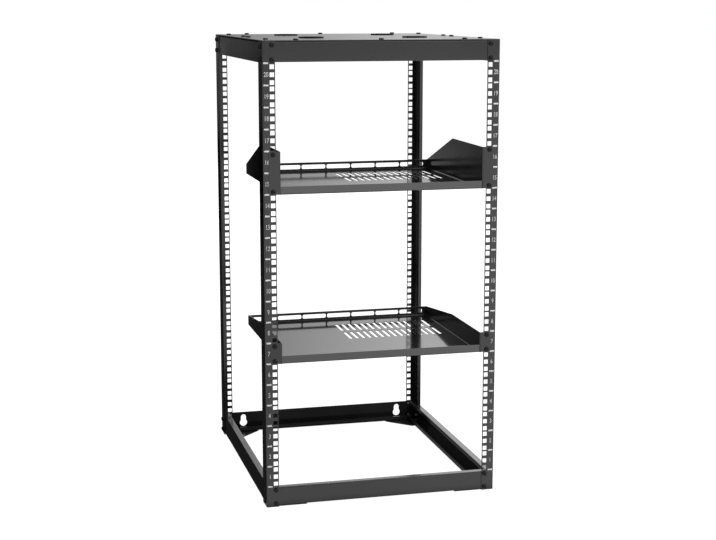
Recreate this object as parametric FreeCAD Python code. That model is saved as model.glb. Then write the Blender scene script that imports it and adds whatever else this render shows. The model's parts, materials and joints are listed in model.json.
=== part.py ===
# Four-post open-frame equipment rack with two vented shelves.
# Units are millimetres. +Z is up, the front faces -Y, and the origin is the
# middle of the footprint at floor level.
import FreeCAD, Part
import math
import os

V = FreeCAD.Vector

# Rack standard
rack_unit = 44.45
mount_units = 20
panel_width = 482.6
hole_line_inset = 8.75
square_hole = 9.5

# Frame sheet metal
post_overhang = 11.7
frame_depth = 600.0
end_height = 44.45
frame_sheet = 2.0
frame_bend = 0.5
hole_edge_margin = 1.8
post_web = 42.0
post_lip = 8.0

# Rails and beams
narrow_flange = 17.0
wide_flange = 27.5
narrow_lip = 8.0
wide_lip = 10.5
beam_step = 2.5
floor_clearance = 2.0
beam_flange_setback = 2.0
lip_notch_clearance = 1.0

# Corner plates under the base
plate_across = 86.0
plate_along = 78.5
plate_chamfer = 53.0
plate_clearance = 1.5

# Top panels and their cable ports
panel_sheet = 2.0
panel_seam = 1.0
panel_corner = 3.0
port_hole = 48.0
port_bore = 44.0
port_rim = 5.0
port_rim_height = 3.0
port_from_side = 138.0
port_from_front = 165.0

# Bolt heads
bolt_head_overlap = 0.5
bolt_flat_inset = 2.25
bolt_head_height = 4.0
bolt_edge_height = 1.5
flange_bolt_inset = 7.225
web_bolt_inset = 9.725
web_bolt_setback = 18.0

# Keyholes in the rear base beam
keyhole_from_side = 54.0
keyhole_round = 18.5
keyhole_neck = 13.0
keyhole_height = 30.0

# Shelves
shelf_sheet = 1.5
shelf_bend = 1.5
ear_width = 23.3
shelf_depth = 400.0
shelf_front_lip = 17.0
ear_trim = 0.9
ear_corner = 3.0
rail_height = 22.0
rail_slot_count = 7
rail_slot_rib = 3.0
rail_slot_end = 10.0
rail_slot_height = 9.5
rail_slot_corner = 3.0
rail_slot_base = 7.0
vent_count = 15
vent_width = 7.0
vent_length = 70.0
vent_past_middle = 20.0
vent_from_side = 29.0
vent_row_gap = 15.0
vent_from_rear = 55.0

# Sides and chords that stand for curves
fold_chords = 3
slot_chords = 2
neck_chords = 4
bolt_sides = 10
port_sides = 32
hole_sides = 16

# Shelf name: lowest unit, units high, length of the part whose side falls
shelves = {
    "upper_shelf": (15, 2, 195.0),
    "lower_shelf": (7, 1, 205.0),
}

# Sizes that follow
post_height = mount_units * rack_unit + 2 * end_height
unit_hole_heights = (rack_unit / 7, rack_unit / 2, rack_unit * 6 / 7)
half_width = panel_width / 2 + post_overhang
half_depth = frame_depth / 2
front_face = -half_depth
hole_line = panel_width / 2 - hole_line_inset
post_flange = half_width - hole_line + square_hole / 2 + hole_edge_margin
fold_reach = frame_sheet + frame_bend
bolt_head = square_hole + 2 * bolt_head_overlap
flange_bolt_pitch = end_height - 2 * flange_bolt_inset
web_bolt_pitch = end_height - 2 * web_bolt_inset
shelf_width = panel_width - 2 * ear_width
shelf_inner_half = shelf_width / 2 - shelf_sheet
front_reach = shelf_sheet + bolt_head_height
rear_reach = bolt_head_height
origin_shift = V(0, (front_reach - rear_reach) / 2, 0)
cut_margin = 1.0


# Profiles and folded sections

def rounded_face(corners, place, chords):
    # Face whose corners (u, v, radius) are rounded, each in a few chords of its arc.
    # place turns (u, v) into a point of the part.
    outline = []
    count = len(corners)
    for index, (u, v, radius) in enumerate(corners):
        here = V(u, v, 0)
        if radius <= 0:
            outline.append(here)
            continue
        before = V(corners[index - 1][0], corners[index - 1][1], 0)
        after = V(corners[(index + 1) % count][0], corners[(index + 1) % count][1], 0)
        back = (before - here).normalize()
        ahead = (after - here).normalize()
        half_angle = back.getAngle(ahead) / 2
        centre = here + (back + ahead).normalize() * (radius / math.sin(half_angle))
        start = here + back * (radius / math.tan(half_angle)) - centre
        turn = math.pi - 2 * half_angle
        if back.cross(ahead).z > 0:
            turn = -turn
        for step in range(chords + 1):
            spin = FreeCAD.Rotation(V(0, 0, 1), math.degrees(turn) * step / chords)
            outline.append(centre + spin.multVec(start))
    points = []
    for corner in outline:
        point = place(corner.x, corner.y)
        if not points or (point - points[-1]).Length > 1e-6:
            points.append(point)
    if (points[0] - points[-1]).Length < 1e-6:
        points.pop()
    return Part.Face(Part.makePolygon(points + [points[0]]))


def round_points(radius, centre, sides):
    # A circle drawn as a closed regular polygon in the plane of X and Y.
    turns = [2 * math.pi * (side % sides) / sides for side in range(sides + 1)]
    return [centre + V(radius * math.cos(turn), radius * math.sin(turn), 0) for turn in turns]


def round_face(radius, centre, sides):
    return Part.Face(Part.makePolygon(round_points(radius, centre, sides)))


def offset_path(path, distance):
    # The path moved to the left of its own direction, mitred at each corner.
    moved = []
    for index, (u, v) in enumerate(path):
        normals = []
        for first, second in ((index - 1, index), (index, index + 1)):
            if first < 0 or second >= len(path):
                continue
            du = path[second][0] - path[first][0]
            dv = path[second][1] - path[first][1]
            length = math.hypot(du, dv)
            normals.append(V(-dv / length, du / length, 0))
        mitre = normals[0] if len(normals) == 1 else normals[0] + normals[1]
        mitre = mitre.normalize()
        stretch = distance / mitre.dot(normals[0])
        moved.append((u + mitre.x * stretch, v + mitre.y * stretch))
    return moved


def folded_face(path, sheet, bend, place):
    # Section of a folded sheet. The path is one skin, with the sheet on its left.
    other_skin = offset_path(path, sheet)
    corners = []
    for index, (u, v) in enumerate(path):
        corners.append((u, v, fold_radius(path, index, bend + sheet, bend)))
    for index in reversed(range(len(path))):
        u, v = other_skin[index]
        corners.append((u, v, fold_radius(path, index, bend, bend + sheet)))
    return rounded_face(corners, place, fold_chords)


def fold_radius(path, index, when_left, when_right):
    # Radius at a fold of the path, by the way that it turns; square at both ends.
    if index == 0 or index == len(path) - 1:
        return 0
    before = V(path[index][0] - path[index - 1][0], path[index][1] - path[index - 1][1], 0)
    after = V(path[index + 1][0] - path[index][0], path[index + 1][1] - path[index][1], 0)
    return when_left if before.cross(after).z > 0 else when_right


def slot_face(length, height, corner, place):
    corners = [(-length / 2, -height / 2, corner), (length / 2, -height / 2, corner),
               (length / 2, height / 2, corner), (-length / 2, height / 2, corner)]
    return rounded_face(corners, place, slot_chords)


def box_between(corner, opposite):
    low = V(min(corner.x, opposite.x), min(corner.y, opposite.y), min(corner.z, opposite.z))
    return Part.makeBox(abs(opposite.x - corner.x), abs(opposite.y - corner.y),
                        abs(opposite.z - corner.z), low)


def mirror_x(shape):
    return shape.mirror(V(0, 0, 0), V(1, 0, 0))


def mirror_y(shape):
    return shape.mirror(V(0, 0, 0), V(0, 1, 0))


def save(name, shape):
    moved = shape.copy()
    moved.translate(origin_shift)
    moved.exportStep("parts/" + name + ".step")


# Where the bolts go

def end_centres():
    # Heights of the middle of the base band and of the top band.
    return (end_height / 2, post_height - end_height / 2)


def flange_bolt_heights():
    return [centre + side * flange_bolt_pitch / 2 for centre in end_centres() for side in (-1, 1)]


def web_bolt_heights():
    return [centre + side * web_bolt_pitch / 2 for centre in end_centres() for side in (-1, 1)]


def bolt_head_on(seat, outward):
    # Button head: a short barrel narrowed to its flat top, seated at the point given.
    levels = ((bolt_head / 2, 0), (bolt_head / 2, bolt_edge_height),
              (bolt_head / 2 - bolt_flat_inset, bolt_head_height))
    rings = [round_points(radius, V(0, 0, height), bolt_sides) for radius, height in levels]
    faces = [Part.Face(Part.makePolygon(ring)) for ring in (rings[0], rings[-1])]
    for lower, upper in zip(rings, rings[1:]):
        for side in range(bolt_sides):
            corners = [lower[side], lower[side + 1], upper[side + 1], upper[side], lower[side]]
            faces.append(Part.Face(Part.makePolygon(corners)))
    head = Part.Solid(Part.Shell(faces))
    head.Placement = FreeCAD.Placement(seat, FreeCAD.Rotation(V(0, 0, 1), outward))
    return head


# Posts

def front_left_web(lipped):
    # Side of the post, to the end of the fold where the flange begins. Its other edge is
    # plain, or folded inward into a lip.
    left = -half_width
    path = [(left, front_face + post_web), (left, front_face), (left + fold_reach, front_face)]
    if lipped:
        path.insert(0, (left + post_lip, front_face + post_web))
    section = folded_face(path, frame_sheet, frame_bend, lambda u, v: V(u, v, 0))
    web = section.extrude(V(0, 0, post_height))
    if not lipped:
        return web
    # The lip stops short of each end, where the rail lies against the web.
    notch = end_height + lip_notch_clearance
    lip_start = front_face + post_web - frame_sheet - frame_bend
    cutters = []
    for low_z, high_z in ((-cut_margin, notch), (post_height - notch, post_height + cut_margin)):
        low = V(left + frame_sheet, lip_start, low_z)
        high = V(left + post_lip + cut_margin, front_face + post_web + cut_margin, high_z)
        cutters.append(box_between(low, high))
    return web.cut(Part.makeCompound(cutters))


def front_left_flange():
    # Flat strip with the square holes, which carries on from the fold of the web.
    flange = box_between(V(-half_width + fold_reach, front_face, 0),
                         V(-half_width + post_flange, front_face + frame_sheet, post_height))
    cutters = []
    for unit in range(mount_units):
        for offset in unit_hole_heights:
            height = end_height + unit * rack_unit + offset
            low = V(-hole_line - square_hole / 2, front_face - cut_margin, height - square_hole / 2)
            high = V(-hole_line + square_hole / 2, front_face + frame_sheet + cut_margin,
                     height + square_hole / 2)
            cutters.append(box_between(low, high))
    return flange.cut(Part.makeCompound(cutters))


# Rails and beams

def channel_path(height):
    # Lipped channel: u runs inward from the web, v from the wide flange to the narrow one.
    return [(narrow_flange, height - narrow_lip), (narrow_flange, height), (0, height),
            (0, 0), (wide_flange, 0), (wide_flange, wide_lip)]


def open_path(height):
    # The same section with a plain edge in place of its narrow flange.
    return [(0, height), (0, 0), (wide_flange, 0), (wide_flange, wide_lip)]


def left_rail(wide_height, narrow_height):
    # Side rail against the webs of the left posts, between the two beams.
    way = 1 if narrow_height > wide_height else -1
    start = front_face + 2 * frame_sheet
    web = -half_width + frame_sheet
    section = folded_face(channel_path(abs(narrow_height - wide_height)), frame_sheet, frame_bend,
                          lambda u, v: V(web + u, start, wide_height + way * v))
    return section.extrude(V(0, -2 * start, 0))


def front_beam(wide_height, narrow_height, path_of):
    # Beam behind the front flanges. Each of its own flanges stops short of the rails' flanges.
    way = 1 if narrow_height > wide_height else -1
    height = abs(narrow_height - wide_height)
    end = half_width - 2 * frame_sheet
    web = front_face + frame_sheet
    section = folded_face(path_of(height), frame_sheet, frame_bend,
                          lambda u, v: V(-end, web + u, wide_height + way * v))
    beam = section.extrude(V(2 * end, 0, 0))
    notches = []
    for flange, low, high in ((wide_flange, -cut_margin, height / 2),
                              (narrow_flange, height / 2, height + cut_margin)):
        flange_end = half_width - frame_sheet - flange - beam_flange_setback
        notch = box_between(V(-end - cut_margin, web + frame_sheet, wide_height + way * low),
                            V(-flange_end, web + flange + cut_margin, wide_height + way * high))
        notches += [notch, mirror_x(notch)]
    return beam.cut(Part.makeCompound(notches))


def keyhole_cutter():
    # Round opening with a narrower neck above it, through the web of the rear beam.
    rear = half_depth - frame_sheet
    low = (floor_clearance + end_height - keyhole_height) / 2
    round_height = low + keyhole_round / 2
    neck_top = low + keyhole_height
    across = half_width - keyhole_from_side
    through = V(0, -frame_sheet - 2 * cut_margin, 0)
    circle = [V(across + point.x, rear + cut_margin, round_height + point.y)
              for point in round_points(keyhole_round / 2, V(0, 0, 0), hole_sides)]
    hole = Part.Face(Part.makePolygon(circle)).extrude(through)
    half_neck = keyhole_neck / 2
    corners = [(-half_neck, round_height, 0), (half_neck, round_height, 0),
               (half_neck, neck_top, half_neck), (-half_neck, neck_top, half_neck)]
    neck = rounded_face(corners, lambda u, v: V(across + u, rear + cut_margin, v), neck_chords)
    return hole.fuse(neck.extrude(through)).removeSplitter()


def corner_plate():
    # Chamfered plate under the rail and the beam at the front left corner.
    left = -half_width + frame_sheet + plate_clearance
    front = front_face + frame_sheet + plate_clearance
    across = -half_width + frame_sheet + plate_across
    along = front_face + frame_sheet + plate_along
    corners = [(left, front, 0), (across, front, 0), (across, along - plate_chamfer, 0),
               (across - plate_chamfer, along, 0), (left, along, 0)]
    face = rounded_face(corners, lambda u, v: V(u, v, 0), fold_chords)
    return face.extrude(V(0, 0, floor_clearance))


# Top

def port_centres():
    height = post_height + panel_sheet
    across = half_width - port_from_side
    return [V(side * across, front_face + port_from_front, height) for side in (-1, 1)]


def front_top_panel():
    corners = [(-half_width, -half_depth, panel_corner), (half_width, -half_depth, panel_corner),
               (half_width, -panel_seam / 2, 0), (-half_width, -panel_seam / 2, 0)]
    face = rounded_face(corners, lambda u, v: V(u, v, post_height), fold_chords)
    panel = face.extrude(V(0, 0, panel_sheet))
    holes = [round_face(port_hole / 2, centre + V(0, 0, cut_margin), port_sides).extrude(
        V(0, 0, -panel_sheet - 2 * cut_margin)) for centre in port_centres()]
    return panel.cut(Part.makeCompound(holes))


def port_ring(centre):
    # Edge ring seated on the panel round its port, reaching a little over the edge of the hole.
    outside = round_face(port_bore / 2 + port_rim, centre, port_sides)
    inside = round_face(port_bore / 2, centre, port_sides)
    return outside.cut(inside).extrude(V(0, 0, port_rim_height))


# Shelves

def shelf_floor(lowest_unit):
    return end_height + (lowest_unit - 1) * rack_unit


def shelf_tray(lowest_unit):
    # Floor folded up into the front lip, pierced by two rows of vents.
    floor = shelf_floor(lowest_unit)
    lip_face = front_face - shelf_sheet
    rear_edge = front_face + shelf_depth - shelf_sheet - shelf_bend
    path = [(lip_face, floor + shelf_front_lip), (lip_face, floor), (rear_edge, floor)]
    section = folded_face(path, shelf_sheet, shelf_bend, lambda u, v: V(-shelf_inner_half, u, v))
    tray = section.extrude(V(2 * shelf_inner_half, 0, 0))
    last_across = shelf_width / 2 - vent_from_side
    pitch = (last_across + vent_past_middle) / (vent_count - 1)
    last_row = front_face + shelf_depth - vent_from_rear - vent_length / 2
    vents = []
    for along in (last_row - vent_row_gap - vent_length, last_row):
        for index in range(vent_count):
            across = index * pitch - vent_past_middle
            vent = slot_face(vent_width, vent_length, vent_width / 2,
                             lambda u, v: V(across + u, along + v, floor - cut_margin))
            vents.append(vent.extrude(V(0, 0, shelf_sheet + 2 * cut_margin)))
    return tray.cut(Part.makeCompound(vents))


def shelf_left_side(lowest_unit, units, fall_length):
    # Side and mounting ear folded from one sheet, with the side falling toward the rear.
    floor = shelf_floor(lowest_unit)
    ear_low = floor + ear_trim / 2
    ear_high = floor + units * rack_unit - ear_trim / 2
    ear_face = front_face - shelf_sheet
    inner = -shelf_inner_half
    rear = front_face + shelf_depth
    path = [(-panel_width / 2, ear_face), (inner, ear_face), (inner, rear)]
    section = folded_face(path, shelf_sheet, shelf_bend, lambda u, v: V(u, v, floor))
    sheet = section.extrude(V(0, 0, units * rack_unit))
    across = -panel_width / 2 - cut_margin
    side_view = [(ear_face - cut_margin, floor, 0), (rear + cut_margin, floor, 0),
                 (rear + cut_margin, floor + rail_height, 0),
                 (front_face + shelf_depth - fall_length, ear_high, 0),
                 (ear_face - cut_margin, ear_high, 0)]
    silhouette = rounded_face(side_view, lambda u, v: V(across, u, v), fold_chords)
    side = sheet.common(silhouette.extrude(V(shelf_width, 0, 0)))
    # The ear keeps a little clear of the units above and below, with rounded outer corners.
    outer = -panel_width / 2
    ear_view = [(outer, ear_low, ear_corner), (inner + cut_margin, ear_low, 0),
                (inner + cut_margin, ear_high, 0), (outer, ear_high, ear_corner)]
    ear_keep = rounded_face(ear_view, lambda u, v: V(u, ear_face - cut_margin, v), fold_chords)
    ear_keep = ear_keep.extrude(V(0, shelf_sheet + cut_margin, 0))
    ear_zone = box_between(V(outer - cut_margin, ear_face - cut_margin, floor - cut_margin),
                           V(-shelf_width / 2 - shelf_bend, front_face,
                             floor + units * rack_unit + cut_margin))
    return side.cut(ear_zone.cut(ear_keep))


def shelf_screw_heights(lowest_unit, units):
    floor = shelf_floor(lowest_unit)
    return (floor + unit_hole_heights[0], floor + (units - 1) * rack_unit + unit_hole_heights[-1])


def shelf_rear_rail(lowest_unit):
    # Low rail across the back, folded up from the floor and pierced by a row of long slots.
    floor = shelf_floor(lowest_unit)
    rear = front_face + shelf_depth
    start = rear - shelf_sheet - shelf_bend
    path = [(start, floor), (rear, floor), (rear, floor + rail_height)]
    section = folded_face(path, shelf_sheet, shelf_bend, lambda u, v: V(-shelf_inner_half, u, v))
    rail = section.extrude(V(2 * shelf_inner_half, 0, 0))
    pitch = (2 * (shelf_inner_half - rail_slot_end) + rail_slot_rib) / rail_slot_count
    slots = []
    for index in range(rail_slot_count):
        across = (index - (rail_slot_count - 1) / 2) * pitch
        height = floor + rail_slot_base + rail_slot_height / 2
        slot = slot_face(pitch - rail_slot_rib, rail_slot_height, rail_slot_corner,
                         lambda u, v: V(across + u, rear - shelf_sheet - cut_margin, height + v))
        slots.append(slot.extrude(V(0, shelf_sheet + 2 * cut_margin, 0)))
    return rail.cut(Part.makeCompound(slots))


# Every piece, saved under its own name

os.makedirs("parts", exist_ok=True)

front_web = front_left_web(lipped=False)
rear_web = mirror_y(front_left_web(lipped=True))
flange = front_left_flange()
for place, web_sheet, flange_sheet in (("front", front_web, flange),
                                       ("rear", rear_web, mirror_y(flange))):
    save("post_" + place + "_left_web", web_sheet)
    save("post_" + place + "_right_web", mirror_x(web_sheet))
    save("post_" + place + "_left_flange", flange_sheet)
    save("post_" + place + "_right_flange", mirror_x(flange_sheet))

base_rail = left_rail(floor_clearance, end_height)
save("base_rail_left", base_rail)
save("base_rail_right", mirror_x(base_rail))
save("base_beam_front", front_beam(floor_clearance, end_height - beam_step, channel_path))
rear_beam = mirror_y(front_beam(floor_clearance, end_height, open_path))
keyhole = keyhole_cutter()
save("base_beam_rear", rear_beam.cut(Part.makeCompound([keyhole, mirror_x(keyhole)])))

plate = corner_plate()
save("corner_plate_front_left", plate)
save("corner_plate_front_right", mirror_x(plate))
save("corner_plate_rear_left", mirror_y(plate))
save("corner_plate_rear_right", mirror_x(mirror_y(plate)))

top_rail = left_rail(post_height, post_height - end_height)
save("top_rail_left", top_rail)
save("top_rail_right", mirror_x(top_rail))
top_beam = front_beam(post_height, post_height - end_height + beam_step, channel_path)
save("top_beam_front", top_beam)
save("top_beam_rear", mirror_y(top_beam))

panel = front_top_panel()
save("top_panel_front", panel)
save("top_panel_rear", mirror_y(panel))
rings = Part.makeCompound([port_ring(centre) for centre in port_centres()])
save("port_rings_front", rings)
save("port_rings_rear", mirror_y(rings))

for shelf, (lowest, units, fall) in shelves.items():
    save(shelf + "_tray", shelf_tray(lowest))
    side = shelf_left_side(lowest, units, fall)
    save(shelf + "_left_side", side)
    save(shelf + "_right_side", mirror_x(side))
    save(shelf + "_rear_rail", shelf_rear_rail(lowest))
    screws = [bolt_head_on(V(side_sign * hole_line, front_face - shelf_sheet, height), V(0, -1, 0))
              for side_sign in (-1, 1) for height in shelf_screw_heights(lowest, units)]
    save(shelf + "_screws", Part.makeCompound(screws))

front_bolts = Part.makeCompound([
    bolt_head_on(V(side_sign * hole_line, front_face, height), V(0, -1, 0))
    for side_sign in (-1, 1) for height in flange_bolt_heights()])
save("front_bolts", front_bolts)
save("rear_bolts", mirror_y(front_bolts))

left_bolts = Part.makeCompound([
    bolt_head_on(V(-half_width, way * (half_depth - web_bolt_setback), height), V(-1, 0, 0))
    for way in (-1, 1) for height in web_bolt_heights()])
save("left_bolts", left_bolts)
save("right_bolts", mirror_x(left_bolts))
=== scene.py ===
import bpy
import bmesh
import json
import math
from mathutils import Matrix, Vector


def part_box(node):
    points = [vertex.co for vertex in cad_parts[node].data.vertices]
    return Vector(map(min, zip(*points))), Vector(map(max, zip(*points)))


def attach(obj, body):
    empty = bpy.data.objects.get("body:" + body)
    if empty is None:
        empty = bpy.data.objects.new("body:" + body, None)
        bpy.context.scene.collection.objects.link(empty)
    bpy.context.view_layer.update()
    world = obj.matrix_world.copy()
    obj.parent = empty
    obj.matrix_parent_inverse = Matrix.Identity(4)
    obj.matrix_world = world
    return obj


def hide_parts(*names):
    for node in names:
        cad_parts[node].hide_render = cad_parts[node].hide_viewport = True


# Looks of the open-frame rack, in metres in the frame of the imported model
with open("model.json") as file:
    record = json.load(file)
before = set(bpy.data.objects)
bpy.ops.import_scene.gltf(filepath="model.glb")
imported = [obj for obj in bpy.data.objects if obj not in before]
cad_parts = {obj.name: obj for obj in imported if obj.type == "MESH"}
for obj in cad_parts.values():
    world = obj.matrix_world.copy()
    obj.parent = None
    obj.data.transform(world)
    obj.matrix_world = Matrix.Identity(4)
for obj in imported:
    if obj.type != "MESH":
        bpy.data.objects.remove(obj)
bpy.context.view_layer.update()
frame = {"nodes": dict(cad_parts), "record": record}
nodes = frame["nodes"]
mm = 0.001
print("rack: frame loaded,", len(nodes), "nodes")


# Camera, as the photograph was taken
camera = {"place": (-0.80614, -3.26996, 1.05439), "turn": (math.pi / 2 - 0.1779, 0.0, -0.2481),
          "lens": 74.785, "sensor": 36, "clip": (0.05, 200)}
camData = bpy.data.cameras.new("photoCamera")
camData.sensor_width = camera["sensor"]
camData.lens = camera["lens"]
camData.clip_start, camData.clip_end = camera["clip"]
camObject = bpy.data.objects.new("photoCamera", camData)
camObject.location = camera["place"]
camObject.rotation_euler = camera["turn"]
bpy.context.scene.collection.objects.link(camObject)
bpy.context.scene.camera = camObject
bpy.context.scene.view_settings.view_transform = "Standard"
print("rack: camera set")


# Node helpers: x and y are only the node's place in the editor
def addNode(tree, kind, x, y, inputs=None, **settings):
    node = tree.nodes.new("ShaderNode" + kind)
    node.location = (x, y)
    for key, value in settings.items():
        setattr(node, key, value)
    for key, value in (inputs or {}).items():
        if isinstance(value, bpy.types.NodeSocket):
            tree.links.new(value, node.inputs[key])
        else:
            node.inputs[key].default_value = value
    return node


def noiseOf(tree, coords, grain, x, y):
    # grain is scale and detail
    noise = addNode(tree, "TexNoise", x, y, {"Vector": coords, "Scale": grain[0], "Detail": grain[1]})
    return noise.outputs["Fac"]


def ramp(tree, source, to, x, y, start=(0.3, 0.7)):
    node = addNode(tree, "MapRange", x, y, {"Value": source, "From Min": start[0], "From Max": start[1],
                                            "To Min": to[0], "To Max": to[1]})
    return node.outputs["Result"]


def bumpOf(tree, height, strength, distance, x, y, normal=None):
    bump = addNode(tree, "Bump", x, y, {"Height": height, "Strength": strength, "Distance": distance})
    if normal is not None:
        tree.links.new(normal, bump.inputs["Normal"])
    return bump.outputs["Normal"]


def mixColour(tree, factor, first, second, x, y):
    first, second = [(*value, 1) if isinstance(value, tuple) else value for value in (first, second)]
    return addNode(tree, "Mix", x, y, {0: factor, 6: first, 7: second}, data_type="RGBA").outputs[2]


def mixShader(tree, factor, first, second, x, y):
    return addNode(tree, "MixShader", x, y, {0: factor, 1: first.outputs[0], 2: second.outputs[0]})


def newMaterial(name):
    material = bpy.data.materials.new(name)
    material.use_nodes = True
    tree = material.node_tree
    tree.nodes.clear()
    coords = addNode(tree, "TexCoord", -1200, 0).outputs["Object"]
    return material, tree, coords


def showSurface(tree, shader, kind="OutputMaterial"):
    addNode(tree, kind, 900, 0, {"Surface": shader.outputs[0]})


def edgeMask(tree, radius, x, y, likeness=(0.86, 0.995)):
    # 1 along outer edges, 0 on the flats, by how alike the rounded and the plain normal are
    soft = addNode(tree, "Bevel", x, y, {"Radius": radius}, samples=4)
    plain = addNode(tree, "NewGeometry", x, y - 160)
    dot = addNode(tree, "VectorMath", x + 180, y,
                  {0: soft.outputs["Normal"], 1: plain.outputs["Normal"]}, operation="DOT_PRODUCT")
    return ramp(tree, dot.outputs["Value"], (1, 0), x + 360, y, likeness)


# Black powder coat: cloudy tone, orange peel, fine grain, pale specks, and outer edges made lighter, partly as wear
# and partly as a painted sheen
coatLooks = {
    "post": {"dark": (0.008, 0.008, 0.0084), "pale": (0.014, 0.014, 0.0144),
             "rough": (0.17, 0.23), "ior": 1.5, "peel": 0.5, "fine": 0.6},
    "frame_channel": {"dark": (0.008, 0.008, 0.0084), "pale": (0.014, 0.014, 0.0144),
                      "rough": (0.16, 0.22), "ior": 1.5, "peel": 0.5, "fine": 0.6},
    "top_panel": {"dark": (0.014, 0.014, 0.0145), "pale": (0.021, 0.021, 0.0215),
                  "rough": (0.18, 0.24), "ior": 1.5, "peel": 0.5, "fine": 0.6},
    "shelf": {"dark": (0.011, 0.011, 0.0115), "pale": (0.018, 0.018, 0.0185),
              "rough": (0.13, 0.19), "ior": 1.46, "peel": 0.3, "fine": 0.4},
    "tray": {"dark": (0.012, 0.012, 0.0124), "pale": (0.019, 0.019, 0.0194),
             "rough": (0.075, 0.105), "ior": 1.66, "peel": 0.12, "fine": 0.15},
}
# The edge colour is the lighter tone along outer edges: partly wear, partly a painted sheen
coatGrain = {"fine": (1500, 2), "peel": (240, 3), "cloud": (9, 4),
             "fineDepth": 0.000018, "peelDepth": 0.00003,
             "speck": (0.03, 0.03, 0.031), "speckShare": (0, 0.35), "speckFrom": (0.55, 0.75),
             "edge": (0.075, 0.075, 0.078), "edgeWearSheenRadius": 0.0006, "edgeWearSheenGrit": (0.15, 0.8)}


def powderCoat(slot, look):
    material, tree, coords = newMaterial("powderCoat_" + slot)
    fine = noiseOf(tree, coords, coatGrain["fine"], -900, -300)
    peel = noiseOf(tree, coords, coatGrain["peel"], -900, -520)
    cloud = noiseOf(tree, coords, coatGrain["cloud"], -900, 120)
    base = mixColour(tree, ramp(tree, cloud, (0, 1), -700, 120), look["dark"], look["pale"], -420, 160)
    speck = ramp(tree, fine, coatGrain["speckShare"], -700, -100, coatGrain["speckFrom"])
    base = mixColour(tree, speck, base, coatGrain["speck"], -200, 160)
    # Lighter outer edges, made patchy by the peel noise: partly wear, partly a painted sheen
    worn = edgeMask(tree, coatGrain["edgeWearSheenRadius"], -900, 420)
    edgeWearAndSheen = addNode(tree, "Math", -300, 420,
                   {0: worn, 1: ramp(tree, peel, coatGrain["edgeWearSheenGrit"], -560, 560)}, operation="MULTIPLY")
    base = mixColour(tree, edgeWearAndSheen.outputs[0], base, coatGrain["edge"], 100, 160)
    normal = bumpOf(tree, peel, look["peel"], coatGrain["peelDepth"], -300, -520)
    normal = bumpOf(tree, fine, look["fine"], coatGrain["fineDepth"], 0, -400, normal)
    rough = ramp(tree, cloud, look["rough"], -200, -60)
    shader = addNode(tree, "BsdfPrincipled", 600, 0,
                     {"Base Color": base, "Roughness": rough, "IOR": look["ior"], "Normal": normal})
    showSurface(tree, shader)
    return material


# The other finishes: two colours that the cloud noise blends, and a grained surface
grainLooks = {
    "port_ring": {"name": "mouldedPlastic", "colours": ((0.006, 0.006, 0.0063), (0.011, 0.011, 0.0114)),
                  "fine": (2200, 2), "cloud": (30, 3), "roughBy": "fine", "rough": (0.50, 0.64),
                  "bump": (0.5, 0.00003), "sockets": {"Specular IOR Level": 0.14}},
    "bolt": {"name": "blackOxide", "colours": ((0.003, 0.003, 0.0032), (0.007, 0.0069, 0.0067)),
             "fine": (3000, 2), "cloud": (160, 4), "roughBy": "cloud", "rough": (0.36, 0.50),
             "bump": (0.4, 0.00001), "sockets": {"Specular IOR Level": 0.22},
             "worn": (0.02, 0.02, 0.021), "wornRadius": 0.00025},
    "zinc": {"name": "zincPlate", "colours": ((0.30, 0.30, 0.31), (0.46, 0.46, 0.47)),
             "fine": (420, 4), "cloud": (420, 4), "roughBy": "cloud", "rough": (0.25, 0.42),
             "bump": (0.3, 0.00002), "sockets": {"Metallic": 0.9}},
    # Printed marks: the second colour is where the paint is thin and the coat shows through
    "ticks": {"name": "printedPaint_ticks", "colours": ((0.78, 0.78, 0.77), (0.50, 0.50, 0.50)),
              "fine": (2600, 3), "cloud": (350, 3), "roughBy": "fine", "rough": (0.45, 0.65),
              "bump": (0.4, 0.00001), "blend": (0, 0.7), "blendFrom": (0.52, 0.72)},
    "numbers": {"name": "printedPaint_numbers", "colours": ((0.52, 0.52, 0.515), (0.28, 0.28, 0.28)),
                "fine": (2600, 3), "cloud": (350, 3), "roughBy": "fine", "rough": (0.45, 0.65),
                "bump": (0.4, 0.00001), "blend": (0, 0.7), "blendFrom": (0.52, 0.72)},
}


def grainedFinish(look):
    material, tree, coords = newMaterial(look["name"])
    noise = {"fine": noiseOf(tree, coords, look["fine"], -900, -300),
             "cloud": noiseOf(tree, coords, look["cloud"], -900, 100)}
    blend = ramp(tree, noise["cloud"], look.get("blend", (0, 1)), -600, 100, look.get("blendFrom", (0.3, 0.7)))
    base = mixColour(tree, blend, *look["colours"], -300, 100)
    if "worn" in look:
        base = mixColour(tree, edgeMask(tree, look["wornRadius"], -900, 420), base, look["worn"], -60, 160)
    rough = ramp(tree, noise[look["roughBy"]], look["rough"], -300, -100)
    normal = bumpOf(tree, noise["fine"], *look["bump"], -100, -300)
    shader = addNode(tree, "BsdfPrincipled", 600, 0, {"Base Color": base, "Roughness": rough,
                                                      "Normal": normal, **look.get("sockets", {})})
    showSurface(tree, shader)
    return material


finishes = {slot: powderCoat(slot, look) for slot, look in coatLooks.items()}
finishes.update({slot: grainedFinish(look) for slot, look in grainLooks.items()})
print("rack: finishes made")


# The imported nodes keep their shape, take their finish and get eased edges
edgeEase = {"width": 0.00028, "segments": 2, "angle": math.radians(40), "weld": 0.00001}
trayNodes = ("upper_shelf_tray", "lower_shelf_tray")    # glossier than the rest of the shelf
slotOf = {part["node"]: part["material_slot"] for part in frame["record"]["subparts"]}
for name, node in nodes.items():
    for place in node.material_slots:
        place.material = finishes["tray" if name in trayNodes else slotOf[name]]
    weld = node.modifiers.new("weld", "WELD")
    weld.merge_threshold = edgeEase["weld"]
    bevel = node.modifiers.new("ease", "BEVEL")
    bevel.width = edgeEase["width"]
    bevel.segments = edgeEase["segments"]
    bevel.limit_method = "ANGLE"
    bevel.angle_limit = edgeEase["angle"]
    bevel.harden_normals = True
print("rack: packed nodes finished")


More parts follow.
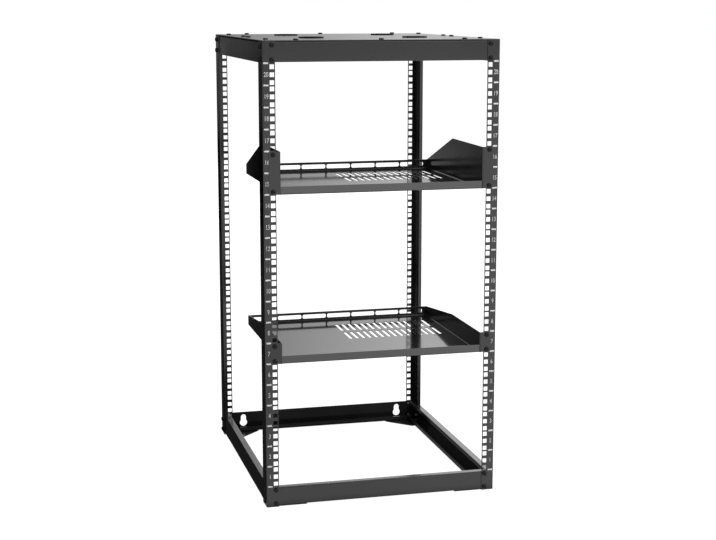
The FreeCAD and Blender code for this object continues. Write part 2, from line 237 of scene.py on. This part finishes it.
# Mesh helpers
def finishPiece(name, bm, finish, smoothDegrees=None):
    bmesh.ops.recalc_face_normals(bm, faces=bm.faces)
    mesh = bpy.data.meshes.new(name)
    bm.to_mesh(mesh)
    bm.free()
    mesh.materials.append(finishes[finish])
    if smoothDegrees is not None:
        mesh.shade_smooth()
        mesh.set_sharp_from_angle(angle=math.radians(smoothDegrees))
    piece = bpy.data.objects.new(name, mesh)
    bpy.context.scene.collection.objects.link(piece)
    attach(piece, "root")
    return piece


def ringOf(bm, points, place):
    return [bm.verts.new(place @ Vector(point)) for point in points]


def skin(bm, lower, upper):
    count = len(lower)
    for i in range(count):
        bm.faces.new((lower[i], lower[(i + 1) % count], upper[(i + 1) % count], upper[i]))


def loft(bm, rings, capped=True):
    # Skins the rings in turn, then caps both ends or joins the last ring to the first
    for lower, upper in zip(rings, rings[1:]):
        skin(bm, lower, upper)
    if capped:
        bm.faces.new(rings[-1])
        bm.faces.new(list(reversed(rings[0])))
    else:
        skin(bm, rings[-1], rings[0])


def circlePoints(radius, height, count):
    turns = [2 * math.pi * i / count for i in range(count)]
    return [(radius * math.cos(turn), radius * math.sin(turn), height) for turn in turns]


def hexPoints(flats, height, count):
    # A hexagon drawn with as many points as the circles round it
    points = []
    for i in range(count):
        turn = 2 * math.pi * i / count
        local = (turn + math.pi / 6) % (math.pi / 3) - math.pi / 6
        radius = flats / 2 / math.cos(local)
        points.append((radius * math.cos(turn + math.pi / 6), radius * math.sin(turn + math.pi / 6), height))
    return points


def domeRings(bm, look, place):
    # A round head from its eased foot over its dome to the edge of its flat top
    count = look["points"]
    rings = [ringOf(bm, circlePoints(look["radius"] - look["foot"], 0, count), place),
             ringOf(bm, circlePoints(look["radius"], look["footHeight"], count), place),
             ringOf(bm, circlePoints(look["radius"], look["edge"], count), place)]
    for step in range(1, look["domeSteps"] + 1):
        turn = step / look["domeSteps"] * math.pi / 2
        radius = look["top"] + (look["radius"] - look["top"]) * math.cos(turn)
        height = look["edge"] + (look["height"] - look["edge"]) * math.sin(turn)
        rings.append(ringOf(bm, circlePoints(radius, height, count), place))
    return rings


def facing(seat, outward):
    # A frame whose Z points outward, set on the seat
    turn = Vector(outward).to_track_quat("Z", "Y").to_matrix().to_4x4()
    return Matrix.Translation(Vector(seat)) @ turn


def islands(nodeName):
    # Low and high corner of each separate solid in a node
    bm = bmesh.new()
    bm.from_mesh(nodes[nodeName].data)
    bmesh.ops.remove_doubles(bm, verts=bm.verts, dist=0.00001)
    left, found = set(bm.verts), []
    while left:
        start = left.pop()
        stack, group = [start], [start]
        while stack:
            for edge in stack.pop().link_edges:
                for vert in edge.verts:
                    if vert in left:
                        left.remove(vert)
                        stack.append(vert)
                        group.append(vert)
        low = Vector([min(vert.co[k] for vert in group) for k in range(3)])
        high = Vector([max(vert.co[k] for vert in group) for k in range(3)])
        found.append((low, high))
    bm.free()
    return sorted(found, key=lambda pair: tuple(round(v, 4) for v in pair[0]))


# Frame bolts and shelf screws: button heads with a hexagon socket
boltHead = {"radius": 5.2 * mm, "height": 3.95 * mm, "edge": 0.8 * mm, "top": 2.8 * mm,
            "foot": 0.15 * mm, "footHeight": 0.15 * mm, "points": 36, "domeSteps": 6,
            "socket": 3.0 * mm, "mouth": 0.3 * mm, "mouthDepth": 0.18 * mm, "socketDepth": 1.7 * mm,
            "tip": 0.3 * mm, "tipDepth": 0.5 * mm, "spin": 0.7}
frameBolts = {"front_bolts": (0, -1, 0), "rear_bolts": (0, 1, 0), "left_bolts": (-1, 0, 0), "right_bolts": (1, 0, 0)}
shelfScrews = {"upper_shelf_screws": (0, -1, 0), "lower_shelf_screws": (0, -1, 0)}


def buttonHead(bm, place):
    look, count, rim = boltHead, boltHead["points"], boltHead["height"]
    bottom = rim - look["socketDepth"]
    rings = domeRings(bm, look, place)
    for flats, height in ((look["socket"] + look["mouth"], rim), (look["socket"], rim - look["mouthDepth"]),
                          (look["socket"], bottom)):
        rings.append(ringOf(bm, hexPoints(flats, height, count), place))
    rings.append(ringOf(bm, circlePoints(look["tip"], bottom - look["tipDepth"], count), place))
    loft(bm, rings)


boltSeats = {}
for nodeName, outward in {**frameBolts, **shelfScrews}.items():
    bm = bmesh.new()
    boltSeats[nodeName] = seats = []
    for low, high in islands(nodeName):
        depth = abs(Vector(outward).dot(high - low))
        seats.append((low + high) / 2 - Vector(outward) * depth / 2)
        spin = Matrix.Rotation(len(seats) * boltHead["spin"], 4, "Z")
        buttonHead(bm, facing(seats[-1], outward) @ spin)
    heads = finishPiece(nodeName.replace("_", ".") + ".heads", bm, "bolt", 35)
    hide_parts(nodeName)
print("rack: bolts made")


# Clinch nuts behind the frame bolts
clinchNut = {"radius": 3.1 * mm, "height": 3.6 * mm, "collar": 3.7 * mm, "collarHeight": 0.7 * mm,
             "bore": 2.1 * mm, "mouth": 0.25 * mm, "ease": 0.3 * mm, "points": 28, "sheets": 4 * mm}


def lathe(bm, profile, place, count):
    rings = [ringOf(bm, circlePoints(radius, height, count), place) for radius, height in profile]
    loft(bm, rings, capped=False)


bm = bmesh.new()
look = clinchNut
bore, height, ease = look["bore"], look["height"], look["ease"]
profile = [(bore, 0), (look["collar"], 0), (look["collar"], look["collarHeight"]),
           (look["radius"], look["collarHeight"] + ease), (look["radius"], height - ease),
           (look["radius"] - ease, height), (bore + look["mouth"], height), (bore, height - ease)]
for nodeName, outward in frameBolts.items():
    inward = -Vector(outward)
    for seat in boltSeats[nodeName]:
        lathe(bm, profile, facing(seat + inward * look["sheets"], inward), look["points"])
finishPiece("clinchNuts", bm, "zinc", 35)


# Cage nuts behind the shelf screws: a square nut in a sprung sheet cage
cageNut = {"nut": 10.6 * mm, "nutDepth": 5.4 * mm, "bore": 3.0 * mm, "mouth": 0.5 * mm, "corner": 1.28,
           "footScale": 0.96, "footHeight": 0.3 * mm, "crownScale": 0.93, "crownHeight": 0.4 * mm, "points": 32,
           "cage": 12.6 * mm, "cageDepth": 6.6 * mm, "sheet": 0.6 * mm, "wing": 9.0 * mm,
           "hook": 3.2 * mm, "footInset": 0.4 * mm, "ease": 0.12 * mm,
           "behind": 3.5 * mm}    # shelf ear of 1.5 mm and flange of 2 mm between head and cage


def boxAt(bm, place, low, high, ease):
    made = bmesh.ops.create_cube(bm, size=1)["verts"]
    size = [high[k] - low[k] for k in range(3)]
    centre = [(high[k] + low[k]) / 2 for k in range(3)]
    for vert in made:
        vert.co = Vector([vert.co[k] * size[k] + centre[k] for k in range(3)])
    edges = {edge for vert in made for edge in vert.link_edges}
    eased = bmesh.ops.bevel(bm, geom=list(edges), offset=ease, segments=2, affect="EDGES", profile=0.5)
    for vert in {v for face in eased["faces"] for v in face.verts} | {v for v in made if v.is_valid}:
        vert.co = place @ vert.co


def squareNut(bm, place, look):
    half, depth, count = look["nut"] / 2, look["nutDepth"], look["points"]
    outline = []
    for i in range(count):
        turn = 2 * math.pi * i / count
        reach = min(half / max(abs(math.cos(turn)), abs(math.sin(turn))), half * look["corner"])
        outline.append((reach * math.cos(turn), reach * math.sin(turn)))
    rings = [ringOf(bm, circlePoints(look["bore"], 0, count), place)]
    for scale, height in ((look["footScale"], 0), (1, look["footHeight"]),
                          (1, depth - look["crownHeight"]), (look["crownScale"], depth)):
        rings.append(ringOf(bm, [(x * scale, y * scale, height) for x, y in outline], place))
    for radius, height in ((look["bore"] + look["mouth"], depth), (look["bore"], depth - look["mouth"])):
        rings.append(ringOf(bm, circlePoints(radius, height, count), place))
    loft(bm, rings, capped=False)


def sheetCage(bm, place, look):
    # Each side has a wall, a hook over the nut and a foot in the square hole
    half, sheet, depth = look["cage"] / 2, look["sheet"], look["cageDepth"]
    for side in (-1, 1):
        wall = sorted((side * half, side * (half - sheet)))
        hook = sorted((side * half, side * (half - look["hook"])))
        for across, inset, low, high in ((wall, 0, 0, depth), (hook, 0, depth - sheet, depth),
                                         (hook, look["footInset"], 0, sheet)):
            reach = look["wing"] / 2 - inset
            boxAt(bm, place, (across[0], -reach, low), (across[1], reach, high), look["ease"])


bmNut, bmCage = bmesh.new(), bmesh.new()
for nodeName in shelfScrews:
    for seat in boltSeats[nodeName]:
        place = facing(seat + Vector((0, cageNut["behind"], 0)), (0, 1, 0))
        squareNut(bmNut, place @ Matrix.Translation((0, 0, cageNut["sheet"])), cageNut)
        sheetCage(bmCage, place, cageNut)
finishPiece("cageNutBodies", bmNut, "zinc", 35)
finishPiece("cageNutClips", bmCage, "zinc", 35)
print("rack: nuts made")


# Inner bends where the shelf floors meet their sides
shelfBend = {"radius": 2.4 * mm, "sheet": 1.5 * mm, "sink": 0.1 * mm, "steps": 7, "short": 4 * mm}
bm = bmesh.new()
look = shelfBend
for shelf in ("upper_shelf", "lower_shelf"):
    trayLow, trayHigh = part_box(shelf + "_tray")
    floorTop = trayLow.z + look["sheet"]
    ends = (trayLow.y + look["short"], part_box(shelf + "_rear_rail")[1].y - look["short"])
    for side, across in ((-1, trayLow.x), (1, trayHigh.x)):
        profile = [(across + side * look["sink"], floorTop - look["sink"])]
        for step in range(look["steps"] + 1):
            turn = step / look["steps"] * math.pi / 2
            profile.append((across - side * look["radius"] * (1 - math.sin(turn)),
                            floorTop + look["radius"] * (1 - math.cos(turn))))
        loft(bm, [ringOf(bm, [(x, y, z) for x, z in profile], Matrix.Identity(4)) for y in ends])
finishPiece("shelfBends", bm, "shelf", 35)
print("rack: shelf bends made")


# Screws that hold the top: domed, with a cross recess; their places are in mm
topScrew = {"radius": 5.2 * mm, "height": 2.95 * mm, "edge": 1.5 * mm, "top": 3.3 * mm,
            "foot": 0.1 * mm, "footHeight": 0.15 * mm, "points": 32, "domeSteps": 5, "spin": 1.1,
            "armHalf": 0.55 * mm, "armReach": 1.9 * mm, "armLeast": 0.29, "taper": 0.85, "taperDepth": 0.8 * mm,
            "tip": 0.15 * mm, "tipDepth": 1.4 * mm,
            "places": [(-180, -283), (0, -283), (180, -283), (-180, 284.5), (0, 284.5), (180, 284.5),
                       (-232, -230), (-232, -29), (-232, 31), (-232, 232),
                       (232, -230), (232, -29), (232, 31), (232, 232)]}
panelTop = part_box("top_panel_front")[1].z
bm = bmesh.new()
look = topScrew
count, top = look["points"], look["height"]
arms = []    # the ring runs out along the four arms of the cross
for i in range(count):
    turn = 2 * math.pi * i / count
    near = min(abs(math.cos(turn)), abs(math.sin(turn)))
    reach = min(look["armReach"], look["armHalf"] / max(near, look["armLeast"]))
    arms.append((reach * math.cos(turn), reach * math.sin(turn)))
for index, (x, y) in enumerate(look["places"]):
    spin = Matrix.Rotation(index * look["spin"], 4, "Z")
    place = facing((x * mm, y * mm, panelTop), (0, 0, 1)) @ spin
    rings = domeRings(bm, look, place)
    for scale, height in ((1, top), (look["taper"], top - look["taperDepth"])):
        rings.append(ringOf(bm, [(armX * scale, armY * scale, height) for armX, armY in arms], place))
    rings.append(ringOf(bm, circlePoints(look["tip"], top - look["tipDepth"], count), place))
    loft(bm, rings)
finishPiece("topScrews", bm, "bolt", 40)


# Cable ports: moulded edge rings, each rounding given as (across, up)
portRing = {"bore": 21.9 * mm, "outer": 26.9 * mm, "height": 3.0 * mm, "points": 96, "steps": 6,
            "innerRound": (0.5 * mm, 0.5 * mm), "outerRound": (0.8 * mm, 0.7 * mm),
            "footInner": 0.2 * mm, "footOuter": 0.25 * mm, "footEase": 0.3 * mm}


def quarterRound(across, up, reach, start):
    steps = portRing["steps"]
    turns = [start - step / steps * math.pi / 2 for step in range(steps + 1)]
    return [(across + reach[0] * math.cos(turn), up + reach[1] * math.sin(turn)) for turn in turns]


look = portRing
bore, outer, top, inner = look["bore"], look["outer"], look["height"], look["innerRound"]
outside = look["outerRound"]
profile = [(bore, look["footInner"]),
           *quarterRound(bore + inner[0], top - inner[1], inner, math.pi),
           *quarterRound(outer - outside[0], top - outside[1], outside, math.pi / 2),
           (outer, look["footOuter"]), (outer - look["footEase"], 0), (bore + look["footEase"], 0)]
for nodeName in ("port_rings_front", "port_rings_rear"):
    bm = bmesh.new()
    for low, high in islands(nodeName):
        middle = (low + high) / 2
        lathe(bm, profile, Matrix.Translation((middle.x, middle.y, low.z)), look["points"])
    piece = finishPiece(nodeName.replace("_", ".") + ".moulded", bm, "port_ring", 50)
    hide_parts(nodeName)
print("rack: top fittings made")


# Unit marks and numbers, printed on the post flanges
unitMarks = {"unit": 44.45 * mm, "count": 20, "start": 44.45 * mm, "lineUp": 0.9 * mm,
             "tick": (240.2 * mm, 250.2 * mm), "tickHeight": 3.3 * mm, "tickCorner": 0.4 * mm, "thick": 0.08 * mm,
             "number": 244.8 * mm, "numberSize": 13.4 * mm, "numberWidth": 0.74, "numberWeight": 0.24 * mm}


def roundedPlate(bm, place, width, height, thick, corner, steps=4):
    outline = []
    for cx, cy, start in ((1, 1, 0), (-1, 1, 90), (-1, -1, 180), (1, -1, 270)):
        for step in range(steps + 1):
            turn = math.radians(start + 90 * step / steps)
            outline.append((cx * (width / 2 - corner) + corner * math.cos(turn),
                            cy * (height / 2 - corner) + corner * math.sin(turn)))
    loft(bm, [ringOf(bm, [(x, y, z) for x, y in outline], place) for z in (0, thick)])


def digitsMesh(text):
    curve = bpy.data.curves.new("digits", "FONT")
    curve.body = text
    curve.size = unitMarks["numberSize"]
    curve.align_x, curve.align_y = "CENTER", "CENTER"
    curve.extrude = unitMarks["thick"] / 2
    curve.offset = unitMarks["numberWeight"]
    curve.resolution_u = 3
    holder = bpy.data.objects.new("digits", curve)
    bpy.context.scene.collection.objects.link(holder)
    bpy.context.view_layer.update()
    mesh = bpy.data.meshes.new_from_object(holder.evaluated_get(bpy.context.evaluated_depsgraph_get()))
    bpy.data.objects.remove(holder)
    bpy.data.curves.remove(curve)
    mesh.transform(Matrix.Diagonal((unitMarks["numberWidth"], 1, 1, 1)))
    return mesh


look = unitMarks
digitMeshes = {unit: digitsMesh(str(unit)) for unit in range(1, look["count"] + 1)}
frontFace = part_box("post_front_left_flange")[0].y
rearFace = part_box("post_rear_left_flange")[1].y
upright = Matrix.Rotation(math.pi / 2, 4, "X")    # a flat mark stands up and faces the front
lift = Matrix.Translation((0, 0, look["thick"] / 2))
tickWidth = look["tick"][1] - look["tick"][0]
for label, faceY, turn in (("front", frontFace, upright),
                           ("rear", rearFace, Matrix.Rotation(math.pi, 4, "Z") @ upright)):
    bmTick, bmNumber = bmesh.new(), bmesh.new()
    for side in (-1, 1):
        middle = side * (look["tick"][0] + look["tick"][1]) / 2
        for unit in range(look["count"] + 1):
            height = look["start"] + unit * look["unit"] + look["lineUp"]
            place = Matrix.Translation((middle, faceY, height)) @ turn
            roundedPlate(bmTick, place, tickWidth, look["tickHeight"], look["thick"], look["tickCorner"])
            if unit == look["count"]:
                continue    # the last line closes the top unit
            height = look["start"] + (unit + 0.5) * look["unit"]
            place = Matrix.Translation((side * look["number"], faceY, height)) @ turn @ lift
            before = len(bmNumber.verts)
            bmNumber.from_mesh(digitMeshes[unit + 1])
            bmNumber.verts.ensure_lookup_table()
            for vert in bmNumber.verts[before:]:
                vert.co = place @ vert.co
    finishPiece("unitTicks." + label, bmTick, "ticks")
    finishPiece("unitNumbers." + label, bmNumber, "numbers")
for mesh in digitMeshes.values():
    bpy.data.meshes.remove(mesh)
print("rack: unit marks made")


# Floor: white to the camera; in gloss bright before the rack, dim to its left, and with a painted shadow of the rack
# under it.
# Each edge is the stretch of X or Y over which one gloss value turns into the next.
floorLook = {"half": 30.0, "drop": 0.5 * mm, "glow": 0.97, "white": (0.22, 0.22, 0.22), "bounce": (0.30, 0.30, 0.30),
             "glossFrontLeft": (1.3, 1.3, 1.3), "glossFrontRight": (1.74, 1.74, 1.74),
             "glossLeft": (0.02, 0.02, 0.02), "glossInside": (0.16, 0.16, 0.16), "glossRear": (1.1, 1.1, 1.1),
             "frontAcross": (-0.1, 0.8), "frontEdge": (-0.34, -0.26), "insideEdge": (-0.26, -0.12),
             "behindEdge": (-0.02, 0.34), "rearEdge": (0.31, 0.75)}


def flatSheet(name, corners, material):
    bm = bmesh.new()
    bm.faces.new([bm.verts.new(corner) for corner in corners])
    mesh = bpy.data.meshes.new(name)
    bm.to_mesh(mesh)
    bm.free()
    mesh.materials.append(material)
    sheet = bpy.data.objects.new(name, mesh)
    bpy.context.scene.collection.objects.link(sheet)
    return sheet


def floorMaterial(look):
    material, tree, coords = newMaterial("floor")
    path = addNode(tree, "LightPath", -900, 300)
    split = addNode(tree, "SeparateXYZ", -900, -200, {0: coords})
    across, along = split.outputs["X"], split.outputs["Y"]
    within = ramp(tree, across, (0, 1), -700, -420, look["insideEdge"])
    # The inside gloss value is a painted shadow: under the rack the floor glows dimmer in gloss
    inside = mixColour(tree, within, look["glossLeft"], look["glossInside"], -500, -420)
    beyond = ramp(tree, across, (0, 1), -700, -640, look["behindEdge"])
    rear = mixColour(tree, beyond, look["glossLeft"], look["glossRear"], -500, -640)
    depth = ramp(tree, along, (0, 1), -700, -860, look["rearEdge"])
    behind = mixColour(tree, depth, inside, rear, -300, -500)
    sideways = ramp(tree, across, (0, 1), -700, 0, look["frontAcross"])
    before = mixColour(tree, sideways, look["glossFrontLeft"], look["glossFrontRight"], -500, 0)
    back = ramp(tree, along, (0, 1), -500, -200, look["frontEdge"])
    mirrored = mixColour(tree, back, before, behind, -300, -200)
    glossGlow = addNode(tree, "Emission", -100, -200, {"Color": mirrored})
    diffuse = addNode(tree, "BsdfDiffuse", -300, 0, {"Color": (*look["bounce"], 1)})
    white = addNode(tree, "BsdfDiffuse", -300, 200, {"Color": (*look["white"], 1)})
    glow = addNode(tree, "Emission", -300, 400, {"Strength": look["glow"]})
    seen = addNode(tree, "AddShader", -100, 300, {0: white.outputs[0], 1: glow.outputs[0]})
    rest = mixShader(tree, path.outputs["Is Glossy Ray"], diffuse, glossGlow, 200, 0)
    showSurface(tree, mixShader(tree, path.outputs["Is Camera Ray"], rest, seen, 500, 0))
    return material


half = floorLook["half"]
corners = ((-half, -half, 0), (half, -half, 0), (half, half, 0), (-half, half, 0))
floor = flatSheet("floor", corners, floorMaterial(floorLook))
floor.location.z = -floorLook["drop"]


# Cards seen only in reflections, each with soft pale patches: middle (X, Z), reach, glow
cards = {
    "behindLeft": {"low": (-7.0, 2.6, 0.0), "high": (-0.30, 2.6, 3.0), "base": 0.0,
                   "patches": [((-0.59, 0.90), 0.20, 0.30), ((-0.59, 0.66), 0.16, 0.22),
                               ((-0.42, 0.05), 0.14, 0.28)]},
    "behindShelf": {"low": (-0.27, 1.0, 0.50), "high": (-0.01, 1.0, 0.68), "base": 0.15,
                    "patches": [((-0.06, 0.58), 0.14, 0.24)]},
}


def cardMaterial(name, look):
    material, tree, coords = newMaterial(name)
    total = look["base"]
    for index, (middle, reach, glow) in enumerate(look["patches"]):
        spot = (middle[0], look["low"][1], middle[1])
        away = addNode(tree, "VectorMath", -700, -200 * index, {0: coords, 1: spot}, operation="DISTANCE")
        patch = ramp(tree, away.outputs["Value"], (glow, 0), -450, -200 * index, (0, reach))
        total = addNode(tree, "Math", -200 + 180 * index, -100 * index,
                        {0: patch, 1: total}, operation="ADD").outputs[0]
    showSurface(tree, addNode(tree, "Emission", 600, 0, {"Strength": total}))
    return material


for name, look in cards.items():
    low, high = look["low"], look["high"]
    corners = (low, (high[0], low[1], low[2]), high, (low[0], low[1], high[2]))
    card = flatSheet(name, corners, cardMaterial(name, look))
    card.visible_camera = False
    card.visible_diffuse = False
    card.visible_shadow = False
print("rack: floor and cards made")


# World: white to the camera, a soft fill for the rest. In gloss it brightens with height and across X.
worldLook = {"gloss": (0.66, 2.1), "rise": (0.0, 0.036), "risePower": 3,
             "side": (0.44, 1.06), "sweep": (0.15, 0.27), "fill": 0.24}
world = bpy.data.worlds.new("studio")
bpy.context.scene.world = world
world.use_nodes = True
tree = world.node_tree
tree.nodes.clear()
path = addNode(tree, "LightPath", -400, 200)
heading = addNode(tree, "TexCoord", -900, -200).outputs["Generated"]
split = addNode(tree, "SeparateXYZ", -700, -200, {0: heading})
climb = addNode(tree, "Math", -550, -200, {0: split.outputs["Z"], 1: worldLook["risePower"]}, operation="POWER")
upward = ramp(tree, climb.outputs[0], worldLook["gloss"], -350, -200, worldLook["rise"])
sideways = ramp(tree, split.outputs["X"], worldLook["side"], -350, -420, worldLook["sweep"])
both = addNode(tree, "Math", -150, -200, {0: upward, 1: sideways}, operation="MULTIPLY")
white = (1, 1, 1, 1)
seen = addNode(tree, "Background", 0, 200, {"Color": white, "Strength": 1.0})
gloss = addNode(tree, "Background", 0, 0, {"Color": white, "Strength": both.outputs[0]})
fill = addNode(tree, "Background", 0, -200, {"Color": white, "Strength": worldLook["fill"]})
rest = mixShader(tree, path.outputs["Is Glossy Ray"], fill, gloss, 300, -50)
showSurface(tree, mixShader(tree, path.outputs["Is Camera Ray"], rest, seen, 550, 50), "OutputWorld")

# Lamps: plain soft boxes that neither the camera nor the gloss sees
softLights = {
    "frontSoftbox": {"place": (0.9, -3.6, 2.2), "aim": (0, 0, 0.5), "size": 2.0, "power": 95},
    "topSoftbox": {"place": (0.2, -0.4, 3.4), "aim": (0, 0, 0.5), "size": 2.4, "power": 45},
    "rearSoftbox": {"place": (0.3, 6.0, 3.0), "aim": (0, 0, 0.5), "size": 2.4, "power": 280},
}
for name, look in softLights.items():
    data = bpy.data.lights.new(name, "AREA")
    data.shape = "SQUARE"
    data.size = look["size"]
    data.energy = look["power"]
    lamp = bpy.data.objects.new(name, data)
    lamp.location = look["place"]
    lamp.rotation_euler = (Vector(look["aim"]) - Vector(look["place"])).to_track_quat("-Z", "Y").to_euler()
    lamp.visible_camera = False
    lamp.visible_glossy = False
    bpy.context.scene.collection.objects.link(lamp)
print("rack: stage lit")
